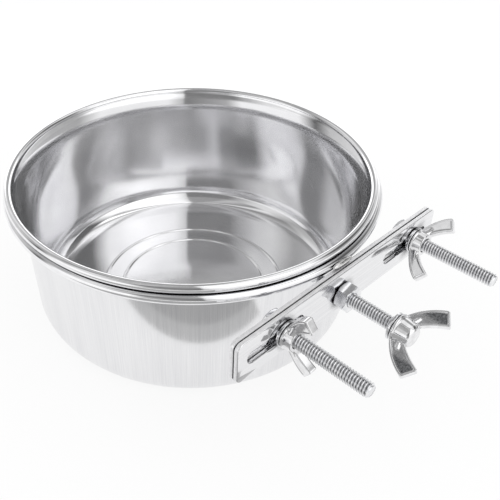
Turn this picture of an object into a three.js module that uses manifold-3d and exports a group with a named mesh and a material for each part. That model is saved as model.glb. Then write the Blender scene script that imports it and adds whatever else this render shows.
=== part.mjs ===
// A hanging pet bowl in its clamp-on holder. Millimetres, +Z up.
// The origin is on the bowl's axis, on the underside of its flat base. The clamp points along -Y.
// A pressed steel bowl hangs by its rolled rim in a ring of round rod. The ring is welded to the
// back one of two slotted plates. Two bolts with wing nuts pull the plates together round the bars
// of a cage, and a wing screw through a nut on the front plate reaches the bowl's wall.

import * as THREE from "three";
import { mergeVertices } from "three/addons/utils/BufferGeometryUtils.js";
import Module from "manifold-3d";

const wasm = await Module();
wasm.setup();

// Bowl
const rimRadius = 89;
const bowlHeight = 74;
const sheet = 0.8;
const beadRadius = 1.95;
const flareWidth = 2.5;
const flareHeight = 8;
const flareBend = 0.65;
const beadJoinAngle = -125;
const wallTaper = 1.6;
const cornerRadius = 12;
const floorRings = [48, 38.1];
const floorRingWidth = 2.4;
const floorRingHeight = 0.5;

// Support ring and its weld
const rodRadius = 2.5;
const ringWallGap = 3.2;
const ringShift = 1.2;
const rimSeatGap = 0.35;
const weldLength = 11;
const weldRadius = 1.9;
const weldOverhang = 0.9;

// Clamp plates
const plateLength = 130;
const plateHeight = 20;
const plateThickness = 2;
const plateCorner = 3;
const plateDrop = 0.25;
const slotLength = 32.5;
const slotEndWall = 5.5;

// Quarter-inch screws, their hexagons and washers
const screwDiameter = 6.35;
const screwEndChamfer = 0.8;
const hexAcrossFlats = 11.1;
const headHeight = 4.1;
const nutHeight = 5.6;
const nutChamfer = 0.8;
const nutChamferWidth = 1.1;
const nutTurn = 9;
const washerRadius = 6;
const washerThickness = 1.2;
const boltReach = 41;
const leftBoltInset = 21.2;
const rightBoltInset = 9.9;
const screwPlace = -2.6;
const screwDrop = 1.6;
const studReach = 38.2;
const studRooted = 7;

// Cast wing heads: the wing's points are given from the axis and from the hub's foot
const hubRadius = 5.6;
const hubDraft = 0.5;
const hubEdge = 0.5;
const hubDome = 1.6;
const wingThickness = 2.9;
const wingBorder = 1.1;
const wingRecess = 0.55;
const wingEdgeRound = 1;
const nutWing = {
  hub: 5,
  root: 0.2,
  knee: 13,
  kneeHeight: 3.8,
  out: 16.4,
  outHeight: 9.7,
  top: 11.2,
  topHeight: 13.2,
  dip: 7.8,
  dipHeight: 6.9,
  valley: 4.2,
};
const screwWing = {
  hub: 8.4,
  root: 0.2,
  knee: 12.9,
  kneeHeight: 4.5,
  out: 16.8,
  outHeight: 13.1,
  top: 10.9,
  topHeight: 17.1,
  dip: 7.8,
  dipHeight: 10.1,
  valley: 6.2,
};
const leftWingTurn = 96;
const rightWingTurn = 43;
const screwWingTurn = 26;

// Clearances
const joinGap = 0.3;
const boreGap = 0.3;
const slotGap = 0.325;
const tipGap = 0.95;

// Facets
const ringSteps = 64;
const rodSteps = 10;
const screwSteps = 24;
const cornerSteps = 6;

// Places that follow from the sizes
const wallRadius = rimRadius - 2 * beadRadius - flareWidth;
const footRadius = wallRadius - wallTaper;
const beadCentre = new THREE.Vector2(rimRadius - beadRadius, bowlHeight - beadRadius);
const flareBase = bowlHeight - 2 * beadRadius - flareHeight;
const ringRadius = wallRadius + ringWallGap + rodRadius;
const ringHeight = bowlHeight - 2 * beadRadius - rimSeatGap - rodRadius;
const plateRear = ringRadius + rodRadius + joinGap;
const plateTop = ringHeight - plateDrop;
const axisHeight = plateTop - plateHeight / 2;
const slotEnd = plateLength / 2 - slotEndWall;
const leftBoltPlace = leftBoltInset - slotEnd;
const rightBoltPlace = slotEnd - rightBoltInset;
const frontPlateFoot = plateThickness + joinGap;
const seat = frontPlateFoot + plateThickness;
const slotHeight = screwDiameter + 2 * slotGap;
const holeRadius = screwDiameter / 2 + boreGap;
const screwHeight = axisHeight - screwDrop;
const wallAtScrew = footRadius + wallTaper * (screwHeight - cornerRadius) / (flareBase - cornerRadius);
const studTip = wallAtScrew + tipGap - plateRear;
const screwSeat = studTip + studReach;
const nutSeat = seat + joinGap;
const headLift = washerThickness + joinGap;

const finishes = {
  brushedSteel: { color: 0xd8d8da, roughness: 0.3, metalness: 1 },
  polishedSteel: { color: 0xdcdcde, roughness: 0.15, metalness: 1 },
  zincPlate: { color: 0xcfd1d3, roughness: 0.25, metalness: 1 },
  castNickel: { color: 0xc6c7c9, roughness: 0.3, metalness: 1 },
  weldMetal: { color: 0xb4b4b6, roughness: 0.4, metalness: 1 },
};

function piece(name, geometry, finish) {
  const mesh = new THREE.Mesh(geometry, new THREE.MeshStandardMaterial(finishes[finish]));
  mesh.name = name;
  return mesh;
}

// A closed geometry as a solid that can be cut and joined
function solid(geometry) {
  const bare = geometry.clone();
  bare.deleteAttribute("normal");
  bare.deleteAttribute("uv");
  const merged = mergeVertices(bare, 1e-4);
  const index = merged.index.array;
  const kept = [];
  for (let i = 0; i < index.length; i += 3) {
    const [a, b, c] = index.slice(i, i + 3);
    if (a !== b && b !== c && c !== a) {
      kept.push(a, b, c);
    }
  }
  const shape = new wasm.Mesh({
    numProp: 3,
    vertProperties: new Float32Array(merged.attributes.position.array),
    triVerts: new Uint32Array(kept),
  });
  return new wasm.Manifold(shape);
}

function geometryOf(body) {
  const shape = body.getMesh();
  const geometry = new THREE.BufferGeometry();
  geometry.setAttribute("position", new THREE.BufferAttribute(shape.vertProperties, 3));
  geometry.setIndex(new THREE.BufferAttribute(shape.triVerts, 1));
  return geometry;
}

// Points of an arc, its first point included
function arc(centre, radius, from, to, steps) {
  const points = [];
  for (let i = 0; i <= steps; i += 1) {
    const turn = THREE.MathUtils.degToRad(from + (to - from) * i / steps);
    points.push(new THREE.Vector2(
      centre.x + radius * Math.cos(turn),
      centre.y + radius * Math.sin(turn),
    ));
  }
  return points;
}

// A profile of radius and height turned about +Z
function turned(profile, steps) {
  return new THREE.LatheGeometry(profile, steps).rotateX(Math.PI / 2);
}

function tube(inner, outer, length) {
  const profile = [
    new THREE.Vector2(inner, 0),
    new THREE.Vector2(outer, 0),
    new THREE.Vector2(outer, length),
    new THREE.Vector2(inner, length),
    new THREE.Vector2(inner, 0),
  ];
  return turned(profile, screwSteps);
}

function rod(radius, length, chamfer) {
  const profile = [
    new THREE.Vector2(0, 0),
    new THREE.Vector2(radius - chamfer, 0),
    new THREE.Vector2(radius, chamfer),
    new THREE.Vector2(radius, length),
    new THREE.Vector2(0, length),
  ];
  return turned(profile, screwSteps);
}

function hexagon(acrossFlats, height) {
  const prism = new THREE.CylinderGeometry(acrossFlats / Math.sqrt(3), acrossFlats / Math.sqrt(3), height, 6);
  return prism.rotateX(Math.PI / 2).rotateZ(Math.PI / 6).translate(0, 0, height / 2);
}

function bowl() {
  const footCentre = new THREE.Vector2(footRadius - cornerRadius, cornerRadius);
  const beadTurn = arc(beadCentre, beadRadius, beadJoinAngle, 180, 10);
  const rimInside = new THREE.Vector2(beadCentre.x - beadRadius, beadCentre.y);
  const outerFlare = new THREE.QuadraticBezierCurve(
    new THREE.Vector2(wallRadius, flareBase),
    new THREE.Vector2(wallRadius, flareBase + flareHeight * flareBend),
    beadTurn[0],
  );
  const innerFlare = new THREE.QuadraticBezierCurve(
    rimInside,
    new THREE.Vector2(wallRadius - sheet, flareBase + flareHeight * flareBend),
    new THREE.Vector2(wallRadius - sheet, flareBase),
  );
  const profile = [
    new THREE.Vector2(0, 0),
    ...arc(footCentre, cornerRadius, -90, 0, cornerSteps),
    ...outerFlare.getPoints(3),
    ...beadTurn.slice(1),
    ...innerFlare.getPoints(3).slice(1),
    ...arc(footCentre, cornerRadius - sheet, 0, -90, cornerSteps),
  ];
  for (const radius of floorRings) {
    profile.push(
      new THREE.Vector2(radius + floorRingWidth / 2, sheet),
      new THREE.Vector2(radius + floorRingWidth / 4, sheet + floorRingHeight),
      new THREE.Vector2(radius - floorRingWidth / 4, sheet + floorRingHeight),
      new THREE.Vector2(radius - floorRingWidth / 2, sheet),
    );
  }
  profile.push(new THREE.Vector2(0, sheet));
  return turned(profile, ringSteps);
}

function supportRing(growth) {
  const ring = new THREE.TorusGeometry(ringRadius, rodRadius + growth, rodSteps, ringSteps);
  return ring.translate(ringShift, 0, ringHeight);
}

// Weld metal in the corner between the rod and the back plate's top edge
function ringWeld() {
  const bead = new THREE.SphereGeometry(1, 16, 12);
  bead.scale(weldLength / 2, plateThickness / 2 + weldOverhang, weldRadius);
  bead.translate(0, -plateRear - plateThickness / 2, plateTop + weldRadius / 2);
  const plateSpace = new THREE.BoxGeometry(
    plateLength,
    plateThickness + 2 * rodRadius,
    plateHeight + 2 * joinGap,
  );
  plateSpace.translate(0, -plateRear - plateThickness / 2, axisHeight);
  const frontSpace = new THREE.BoxGeometry(plateLength, plateHeight, plateHeight);
  frontSpace.translate(0, -plateRear - plateThickness - plateHeight / 2, plateTop);
  const cut = solid(bead)
    .subtract(solid(supportRing(joinGap)))
    .subtract(solid(plateSpace))
    .subtract(solid(frontSpace));
  return geometryOf(cut);
}

function slotPath(centre) {
  const half = (slotLength - slotHeight) / 2;
  const path = new THREE.Path();
  path.absarc(centre + half, 0, slotHeight / 2, -Math.PI / 2, Math.PI / 2, false);
  path.absarc(centre - half, 0, slotHeight / 2, Math.PI / 2, Math.PI * 1.5, false);
  path.closePath();
  return path;
}

// A slotted plate in the clamp's frame: its rear face at 0, its slots centred on the screws' axis
function plate() {
  const half = new THREE.Vector2(plateLength / 2 - plateCorner, plateHeight / 2 - plateCorner);
  const shape = new THREE.Shape();
  shape.absarc(half.x, -half.y, plateCorner, -Math.PI / 2, 0, false);
  shape.absarc(half.x, half.y, plateCorner, 0, Math.PI / 2, false);
  shape.absarc(-half.x, half.y, plateCorner, Math.PI / 2, Math.PI, false);
  shape.absarc(-half.x, -half.y, plateCorner, Math.PI, Math.PI * 1.5, false);
  const centreHole = new THREE.Path();
  centreHole.absarc(screwPlace, -screwDrop, slotHeight / 2, 0, Math.PI * 2, false);
  const slotCentre = slotEnd - slotLength / 2;
  shape.holes.push(slotPath(-slotCentre), centreHole, slotPath(slotCentre));
  return new THREE.ExtrudeGeometry(shape, {
    depth: plateThickness,
    bevelEnabled: false,
    curveSegments: cornerSteps,
  });
}

// A hexagon-headed bolt with its head's seat at 0 and its shank along +Z
function bolt() {
  const length = joinGap + seat + boltReach;
  const shank = rod(screwDiameter / 2, length + headHeight / 2, screwEndChamfer);
  shank.rotateX(Math.PI).translate(0, 0, length);
  const head = hexagon(hexAcrossFlats, headHeight).translate(0, 0, -headHeight);
  return geometryOf(solid(head).add(solid(shank)));
}

// A hexagon nut with the corners of both its ends turned down, its foot at 0
function weldNut() {
  const corner = hexAcrossFlats / Math.sqrt(3);
  const face = corner - nutChamferWidth;
  const profile = [
    new THREE.Vector2(0, 0),
    new THREE.Vector2(face, 0),
    new THREE.Vector2(corner, nutChamfer),
    new THREE.Vector2(corner, nutHeight - nutChamfer),
    new THREE.Vector2(face, nutHeight),
    new THREE.Vector2(0, nutHeight),
  ];
  const bore = rod(holeRadius, nutHeight + 2, 0).translate(0, 0, -1);
  const nut = solid(hexagon(hexAcrossFlats, nutHeight))
    .intersect(solid(turned(profile, screwSteps)))
    .subtract(solid(bore));
  return geometryOf(nut);
}

// Corners moved square to their edges, towards the inside of an anticlockwise outline
function inset(points, distance) {
  return points.map((point, i) => {
    const before = points[(i + points.length - 1) % points.length];
    const after = points[(i + 1) % points.length];
    const a = point.clone().sub(before).normalize();
    const b = after.clone().sub(point).normalize();
    const sum = new THREE.Vector2(-a.y - b.y, a.x + b.x);
    return point.clone().addScaledVector(sum, distance / (1 + a.dot(b)));
  });
}

function towards(from, to, distance) {
  return from.clone().addScaledVector(to.clone().sub(from).normalize(), distance);
}

// One wing's outline, of distance from the axis and height over the hub's foot, drawn in by border
function wingOutline(wing, border, round) {
  const corners = [
    new THREE.Vector2(hubRadius - wingThickness, wing.root),
    new THREE.Vector2(hubRadius, wing.root),
    new THREE.Vector2(wing.knee, wing.kneeHeight),
    new THREE.Vector2(wing.out, wing.outHeight),
    new THREE.Vector2(wing.top, wing.topHeight),
    new THREE.Vector2(wing.dip, wing.dipHeight),
    new THREE.Vector2(hubRadius - wingThickness, wing.valley),
  ];
  const [start, foot, knee, out, top, dip, valley] = inset(corners, border);
  const outEnd = towards(out, knee, round);
  const tipStart = towards(out, top, round);
  const tipEnd = towards(top, out, round);
  const topEnd = towards(top, dip, round);
  const shape = new THREE.Shape();
  shape.moveTo(start.x, start.y);
  shape.lineTo(foot.x, foot.y);
  shape.quadraticCurveTo(knee.x, knee.y, outEnd.x, outEnd.y);
  shape.quadraticCurveTo(out.x, out.y, tipStart.x, tipStart.y);
  shape.lineTo(tipEnd.x, tipEnd.y);
  shape.quadraticCurveTo(top.x, top.y, topEnd.x, topEnd.y);
  shape.quadraticCurveTo(dip.x, dip.y, valley.x, valley.y);
  return shape;
}

// An outline stood up on the XZ plane, with its thickness centred on Y
function standing(shape, thickness, place) {
  const slab = new THREE.ExtrudeGeometry(shape, {
    depth: thickness,
    bevelEnabled: false,
    curveSegments: cornerSteps,
  });
  return slab.rotateX(Math.PI / 2).translate(0, place + thickness / 2, 0);
}

function hub(wing, edge) {
  const top = hubRadius - hubDraft;
  const profile = [
    new THREE.Vector2(0, 0),
    new THREE.Vector2(hubRadius, 0),
    ...arc(new THREE.Vector2(top - edge, wing.hub - edge), edge, 0, 90, 3),
    new THREE.Vector2(0, wing.hub),
  ];
  return solid(turned(profile, screwSteps));
}

// A hub with two wings: its foot at 0, its wings along X, its bore along Z
function wingHead(wing, boreLength, edge) {
  const outline = wingOutline(wing, 0, wingEdgeRound);
  const panel = wingOutline(wing, wingBorder, wingEdgeRound / 2);
  const hubSpace = solid(rod(hubRadius + wingBorder / 2, wing.topHeight * 2, 0));
  let wings = solid(standing(outline, wingThickness, 0));
  for (const side of [-1, 1]) {
    const recess = standing(panel, wingRecess * 2, side * wingThickness / 2);
    wings = wings.subtract(solid(recess).subtract(hubSpace));
  }
  const bore = rod(holeRadius, boreLength + 1, 0).translate(0, 0, -1);
  const head = hub(wing, edge)
    .add(wings)
    .add(wings.rotate([0, 0, 180]))
    .subtract(solid(bore));
  return geometryOf(head);
}

function placed(mesh, x, y, height, turn = 0) {
  mesh.position.set(x, y, height);
  mesh.rotation.z = THREE.MathUtils.degToRad(turn);
  return mesh;
}

const washer = tube(holeRadius, washerRadius, washerThickness);
const stud = rod(screwDiameter / 2, studReach + headLift + studRooted, screwEndChamfer);

// The clamp's own frame: +Z points away from the bowl, from the back plate's rear face
const clamp = new THREE.Group();
clamp.position.set(0, -plateRear, axisHeight);
clamp.rotation.x = Math.PI / 2;
clamp.add(
  placed(piece("back_plate", plate(), "polishedSteel"), 0, 0, 0),
  placed(piece("front_plate", plate(), "polishedSteel"), 0, 0, frontPlateFoot),
);

const screwHead = wingHead(screwWing, studRooted + joinGap, hubDome);
const screwPieces = [
  ["weld_nut", weldNut(), "zincPlate", nutSeat, nutTurn],
  ["centre_washer", washer, "zincPlate", screwSeat, 0],
  ["screw_stud", stud, "zincPlate", studTip, 0],
  ["screw_wing", screwHead, "castNickel", screwSeat + headLift, screwWingTurn],
];
for (const [name, geometry, finish, height, turn] of screwPieces) {
  clamp.add(placed(piece(name, geometry, finish), screwPlace, -screwDrop, height, turn));
}

const boltPlaces = [
  ["left", leftBoltPlace, leftWingTurn],
  ["right", rightBoltPlace, rightWingTurn],
];
for (const [side, place, turn] of boltPlaces) {
  const head = wingHead(nutWing, nutWing.hub + 1, hubEdge);
  clamp.add(
    placed(piece(`${side}_bolt`, bolt(), "zincPlate"), place, 0, -joinGap),
    placed(piece(`${side}_washer`, washer, "zincPlate"), place, 0, nutSeat),
    placed(piece(`${side}_wing_nut`, head, "castNickel"), place, 0, nutSeat + headLift, turn),
  );
}

const hangingBowl = new THREE.Group();
hangingBowl.add(
  piece("bowl", bowl(), "brushedSteel"),
  piece("support_ring", supportRing(0), "polishedSteel"),
  piece("ring_weld", ringWeld(), "weldMetal"),
  clamp,
);

export default hangingBowl;
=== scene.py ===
# Hanging pet bowl in its clamp-on holder, dressed for a studio picture. Blender 4.5, metres.
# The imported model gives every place: pieces are built round the boxes of its nodes.

import math

import bmesh
import bpy
import numpy as np
from mathutils import Matrix, Vector, noise


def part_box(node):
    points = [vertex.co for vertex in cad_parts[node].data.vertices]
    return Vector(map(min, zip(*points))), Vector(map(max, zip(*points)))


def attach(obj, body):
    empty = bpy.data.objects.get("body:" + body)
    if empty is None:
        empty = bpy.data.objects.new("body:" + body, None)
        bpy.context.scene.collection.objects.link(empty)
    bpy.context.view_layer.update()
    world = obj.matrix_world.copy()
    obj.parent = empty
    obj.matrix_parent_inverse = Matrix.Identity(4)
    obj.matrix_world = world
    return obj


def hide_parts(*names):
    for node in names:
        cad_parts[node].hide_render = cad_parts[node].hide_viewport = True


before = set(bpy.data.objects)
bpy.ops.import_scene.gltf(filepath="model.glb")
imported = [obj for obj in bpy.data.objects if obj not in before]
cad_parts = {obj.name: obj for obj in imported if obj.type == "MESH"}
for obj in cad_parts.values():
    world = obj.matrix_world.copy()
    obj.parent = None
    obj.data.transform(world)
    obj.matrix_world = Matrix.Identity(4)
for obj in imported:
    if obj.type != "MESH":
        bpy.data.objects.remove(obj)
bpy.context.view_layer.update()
scene = bpy.context.scene
scene.view_settings.view_transform = "Standard"
mm = 0.001  # the pieces' sizes are written in millimetres, and turns in degrees
mergeGap = 2e-6  # points closer than this are one
print("frame loaded:", len(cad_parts), "nodes")


# Camera, fitted to the rim, the foot, the plates and the bolts

cameraView = {
    "place": (-0.1949, -0.2156, 0.25095),
    "aim": (0.5538, 0.5678, -0.6090),
    "roll": 0.65,
    "sensor": 36,
    "focalPixels": 700.66,
    "pictureWidth": 500,
    "middle": (214.08, 242.33),
}


def makeCamera(view):
    data = bpy.data.cameras.new("camera")
    data.sensor_width = view["sensor"]
    data.lens = view["focalPixels"] / view["pictureWidth"] * view["sensor"]
    half = view["pictureWidth"] / 2
    data.shift_x = (half - view["middle"][0]) / view["pictureWidth"]
    data.shift_y = (view["middle"][1] - half) / view["pictureWidth"]
    data.clip_start = 0.01
    aim = Vector(view["aim"]).normalized()
    right = Vector((aim.y, -aim.x, 0)).normalized()
    up = right.cross(aim)
    turn = math.radians(view["roll"])
    across = math.cos(turn) * right + math.sin(turn) * up
    above = -math.sin(turn) * right + math.cos(turn) * up
    axes = Matrix((across, above, -aim)).transposed()
    camera = bpy.data.objects.new("camera", data)
    camera.matrix_world = Matrix.Translation(view["place"]) @ axes.to_4x4()
    scene.collection.objects.link(camera)
    scene.camera = camera


makeCamera(cameraView)


# Small helpers

def linear(hexColour):  # an sRGB hex colour as Blender's linear one
    parts = [int(hexColour[i:i + 2], 16) / 255 for i in (1, 3, 5)]
    return [c / 12.92 if c <= 0.04045 else ((c + 0.055) / 1.055) ** 2.4 for c in parts] + [1]


def feed(tree, node, inputs):  # a node's values and links, where another node stands for its first result
    for name, value in inputs.items():
        if isinstance(value, bpy.types.Node):
            value = next(socket for socket in value.outputs if socket.enabled)
        if isinstance(value, bpy.types.NodeSocket):
            tree.links.new(value, node.inputs[name])
        else:
            node.inputs[name].default_value = value


def add(tree, kind, settings=None, inputs=None):  # a node with its settings, values and links
    node = tree.nodes.new(kind)
    for name, value in (settings or {}).items():
        setattr(node, name, value)
    feed(tree, node, inputs or {})
    return node


def newTree(name, inputs):  # a Geometry Nodes tree with named inputs: name, socket and default
    tree = bpy.data.node_groups.new(name, "GeometryNodeTree")
    tree.interface.new_socket(name="Geometry", in_out="INPUT", socket_type="NodeSocketGeometry")
    for label, kind, value in inputs:
        socket = tree.interface.new_socket(name=label, in_out="INPUT", socket_type=kind)
        if value is not None:
            socket.default_value = value
    tree.interface.new_socket(name="Geometry", in_out="OUTPUT", socket_type="NodeSocketGeometry")
    return tree, add(tree, "NodeGroupInput").outputs


def closeTree(tree, geometry, material):  # every tree ends in real geometry with its material
    real = add(tree, "GeometryNodeRealizeInstances", None, {0: geometry})
    painted = add(tree, "GeometryNodeSetMaterial", None, {0: real, "Material": material})
    add(tree, "NodeGroupOutput", None, {0: painted})


def grow(name, tree, values, seedMesh=None):  # runs a tree once and returns its result as a plain mesh
    start = bpy.data.objects.new(name, seedMesh or bpy.data.meshes.new(name))
    scene.collection.objects.link(start)
    modifier = start.modifiers.new("grow", "NODES")
    modifier.node_group = tree
    sockets = {s.name: s.identifier for s in tree.interface.items_tree if s.in_out == "INPUT"}
    for label, value in values.items():
        modifier[sockets[label]] = value
    return settled(start)


def settled(obj):  # an object's evaluated mesh, with the object and its modifiers gone
    graph = bpy.context.evaluated_depsgraph_get()
    mesh = bpy.data.meshes.new_from_object(obj.evaluated_get(graph), depsgraph=graph)
    bpy.data.objects.remove(obj)
    return mesh


def cleaned(mesh, place=None, smoothUpTo=35):  # doubles merged, faces out, put in place, shaded smooth
    work = bmesh.new()
    work.from_mesh(mesh)
    bmesh.ops.remove_doubles(work, verts=work.verts, dist=mergeGap)
    bmesh.ops.dissolve_degenerate(work, edges=work.edges, dist=mergeGap / 20)
    bmesh.ops.recalc_face_normals(work, faces=work.faces)
    if place is not None:
        work.transform(place)
    work.to_mesh(mesh)
    work.free()
    mesh.shade_smooth()
    mesh.set_sharp_from_angle(angle=math.radians(smoothUpTo))
    return mesh


def joined(meshes):  # several meshes as one
    work = bmesh.new()
    for mesh in meshes:
        work.from_mesh(mesh)
    result = bpy.data.meshes.new("joined")
    work.to_mesh(result)
    work.free()
    return result


def piece(name, mesh, materials, body, slot, *nodes):  # a finished piece on its body, in place of CAD nodes
    obj = bpy.data.objects.new(name, mesh)
    scene.collection.objects.link(obj)
    obj.data.materials.clear()
    for material in materials:
        obj.data.materials.append(material)
    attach(obj, body)
    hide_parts(*nodes)


def arc(centre, radius, start, end, steps):  # points on a circle, from one turn in degrees to another
    turns = [math.radians(start + (end - start) * i / steps) for i in range(steps + 1)]
    return [(centre[0] + radius * math.cos(t), centre[1] + radius * math.sin(t)) for t in turns]


def bend(a, b, c, steps):  # a quadratic curve from a to c, drawn towards b
    points = []
    for i in range(steps + 1):
        s = i / steps
        start, pull, end = (1 - s) ** 2, 2 * s * (1 - s), s * s
        points.append(tuple(start * p + pull * q + end * r for p, q, r in zip(a, b, c)))
    return points


# Materials

asColour = {"data_type": "RGBA"}  # a Mix node then takes its share at 0 and its colours at 6 and 7
roundAxis = {"direction_type": "RADIAL", "axis": "Z"}
noiseSpread = (0.3, 0.7)  # where most of a noise's values lie
wallRadius = 82.6  # the bowl's, so that the lines on its wall get their true width


def emptyMaterial(name):  # a new material and its node tree, with no nodes yet
    material = bpy.data.materials.new(name)
    material.use_nodes = True
    material.node_tree.nodes.clear()
    return material, material.node_tree


def metalMaterial(name):  # a bare metal: its node tree, its shader and the piece's own coordinates
    material, tree = emptyMaterial(name)
    shader = add(tree, "ShaderNodeBsdfPrincipled", None, {"Metallic": 1.0})
    add(tree, "ShaderNodeOutputMaterial", None, {"Surface": shader})
    place = add(tree, "ShaderNodeTexCoord").outputs["Object"]
    return material, tree, shader, place


def noiseTo(low, high):  # what a Map Range needs to turn a noise into a value between these two
    return {"From Min": noiseSpread[0], "From Max": noiseSpread[1], "To Min": low, "To Max": high}


def tinted(tree, pattern, low, high):  # from one hex colour to another, as the pattern goes
    share = add(tree, "ShaderNodeMapRange", None, {"Value": pattern, **noiseTo(0, 1)})
    return add(tree, "ShaderNodeMix", asColour, {0: share, 6: linear(low), 7: linear(high)})


# Painted shade, standing in for the shade between parts: darker where another surface is within reach, in
# millimetres: darkest where the closed share of what lies around is free, and not at all from the clear share
# on
def paintedGapShade(tree, colour, paintedShade, reach, closed, clear):
    free = add(tree, "ShaderNodeAmbientOcclusion", {"samples": 8}, {"Distance": reach * mm}).outputs["AO"]
    share = add(tree, "ShaderNodeMapRange", None, {"Value": free, "From Min": closed, "From Max": clear})
    return add(tree, "ShaderNodeMix", asColour, {0: share, 6: linear(paintedShade), 7: colour})


# Places for lines of a width and a length in millimetres, which run up a round wall and have no seam
def wallLines(tree, place, width, length):
    parts = add(tree, "ShaderNodeSeparateXYZ", None, {0: place}).outputs
    flat = add(tree, "ShaderNodeCombineXYZ", None, {0: parts[0], 1: parts[1]})
    outward = add(tree, "ShaderNodeVectorMath", {"operation": "NORMALIZE"}, {0: flat})
    scaled = {0: outward, "Scale": wallRadius / width}
    around = add(tree, "ShaderNodeVectorMath", {"operation": "SCALE"}, scaled)
    height = add(tree, "ShaderNodeMath", {"operation": "MULTIPLY"}, {0: parts[2], 1: 1 / (length * mm)})
    upward = add(tree, "ShaderNodeCombineXYZ", None, {2: height})
    return add(tree, "ShaderNodeVectorMath", {"operation": "ADD"}, {0: around, 1: upward})


# Stainless sheet, linished on the outside: fine lines run up the wall and spread reflections sideways.
# They are drawn coarser than real ones, so that they show.
def linishedSteel():
    material, tree, shader, place = metalMaterial("linished stainless steel")
    fineLines, broadLines = wallLines(tree, place, 0.35, 30), wallLines(tree, place, 7, 90)
    fine = add(tree, "ShaderNodeTexNoise", None, {"Vector": fineLines, "Scale": 1.0, "Detail": 3.0})
    broad = add(tree, "ShaderNodeTexNoise", None, {"Vector": broadLines, "Scale": 1.0, "Detail": 2.0})
    fineTone = add(tree, "ShaderNodeMapRange", None, {"Value": fine, **noiseTo(0, 0.6)})
    broadTone = add(tree, "ShaderNodeMapRange", None, {"Value": broad, **noiseTo(0, 0.4)})
    tone = add(tree, "ShaderNodeMath", {"operation": "ADD"}, {0: fineTone, 1: broadTone})
    colour = add(tree, "ShaderNodeMix", asColour, {0: tone, 6: linear("#e3e3e5"), 7: linear("#f2f2f3")})
    rough = add(tree, "ShaderNodeMapRange", None, {"Value": fine, **noiseTo(0.1, 0.16)})
    tangent = add(tree, "ShaderNodeTangent", roundAxis)
    relief = add(tree, "ShaderNodeBump", None, {"Strength": 0.05, "Distance": 0.02 * mm, "Height": fine})
    feed(tree, shader, {"Base Color": colour, "Roughness": rough, "Normal": relief})
    feed(tree, shader, {"Anisotropic": 0.6, "Tangent": tangent})
    return material


# The same sheet's inside, left satin by the press: marks too fine to draw run round the wall and spread
# reflections up and down it, faint drawing lines run up it, and the floor is clearer
def satinSteel():
    material, tree, shader, place = metalMaterial("satin stainless steel")
    drawn = wallLines(tree, place, 0.5, 45)
    fine = add(tree, "ShaderNodeTexNoise", None, {"Vector": drawn, "Scale": 1.0, "Detail": 3.0})
    cloud = add(tree, "ShaderNodeTexNoise", None, {"Vector": place, "Scale": 1 / (45.5 * mm), "Detail": 2.0})
    colour = tinted(tree, cloud, "#e0e0e2", "#f0f0f1")
    facing = add(tree, "ShaderNodeNewGeometry").outputs["True Normal"]
    upright = add(tree, "ShaderNodeSeparateXYZ", None, {0: facing}).outputs[2]
    level = add(tree, "ShaderNodeMath", {"operation": "ABSOLUTE"}, {0: upright})
    wallToFloor = {"Value": level, "From Min": 0.15, "From Max": 0.6}
    marks = add(tree, "ShaderNodeMapRange", None, {**wallToFloor, "To Min": 0.85, "To Max": 0.0})
    rough = add(tree, "ShaderNodeMapRange", None, {**wallToFloor, "To Min": 0.12, "To Max": 0.07})
    tangent = add(tree, "ShaderNodeTangent", roundAxis)
    relief = add(tree, "ShaderNodeBump", None, {"Strength": 0.05, "Distance": 0.02 * mm, "Height": fine})
    feed(tree, shader, {"Base Color": colour, "Roughness": rough, "Normal": relief})
    feed(tree, shader, {"Anisotropic": marks, "Anisotropic Rotation": 0.25, "Tangent": tangent})
    feed(tree, shader, {"Metallic": 0.92})  # the satin haze over its reflections
    return material


# Polished steel rod and curled rim: almost a mirror, with a faint cloud of buffing, and painted shade where
# another surface is near
def polishedSteel():
    material, tree, shader, place = metalMaterial("polished stainless steel")
    cloud = add(tree, "ShaderNodeTexNoise", None, {"Vector": place, "Scale": 1 / (6.25 * mm), "Detail": 4.0})
    colour = paintedGapShade(tree, tinted(tree, cloud, "#eaeaec", "#f5f5f6"), "#2a2a2b", 3, 0.25, 0.6)
    rough = add(tree, "ShaderNodeMapRange", None, {"Value": cloud, **noiseTo(0.04, 0.09)})
    feed(tree, shader, {"Base Color": colour, "Roughness": rough})
    return material


# Bright rolled strip, cut to length: a mirror with hairlines along it, drawn coarse enough to show, and
# painted shade where another surface is near
def stripSteel():
    material, tree, shader, place = metalMaterial("bright steel strip")
    hairSize = [1 / (size * mm) for size in (40, 0.4, 0.4)]
    stretch = add(tree, "ShaderNodeMapping", None, {"Vector": place, "Scale": hairSize})
    hair = add(tree, "ShaderNodeTexNoise", None, {"Vector": stretch, "Scale": 1.0, "Detail": 3.0})
    colour = paintedGapShade(tree, tinted(tree, hair, "#e4e4e6", "#efeff0"), "#606062", 5, 0.3, 0.85)
    rough = add(tree, "ShaderNodeMapRange", None, {"Value": hair, **noiseTo(0.05, 0.11)})
    relief = add(tree, "ShaderNodeBump", None, {"Strength": 0.015, "Distance": 0.02 * mm, "Height": hair})
    feed(tree, shader, {"Base Color": colour, "Roughness": rough, "Normal": relief})
    return material


# The same strip where it was sheared and punched: torn and dull, and dark partly as sheared steel is and
# partly as painted shade, on the slot walls that do not face up and on the edges that face the other plate.
# The tears are drawn coarse enough to show.
def shearedSteelAndGapShade():
    material, tree, shader, place = metalMaterial("sheared steel edge")
    torn = add(tree, "ShaderNodeTexNoise", None, {"Vector": place, "Scale": 1 / (1.11 * mm), "Detail": 3.0})
    feed(tree, shader, {"Base Color": tinted(tree, torn, "#8a8a8d", "#c4c4c6"), "Roughness": 0.42})
    return material


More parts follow.
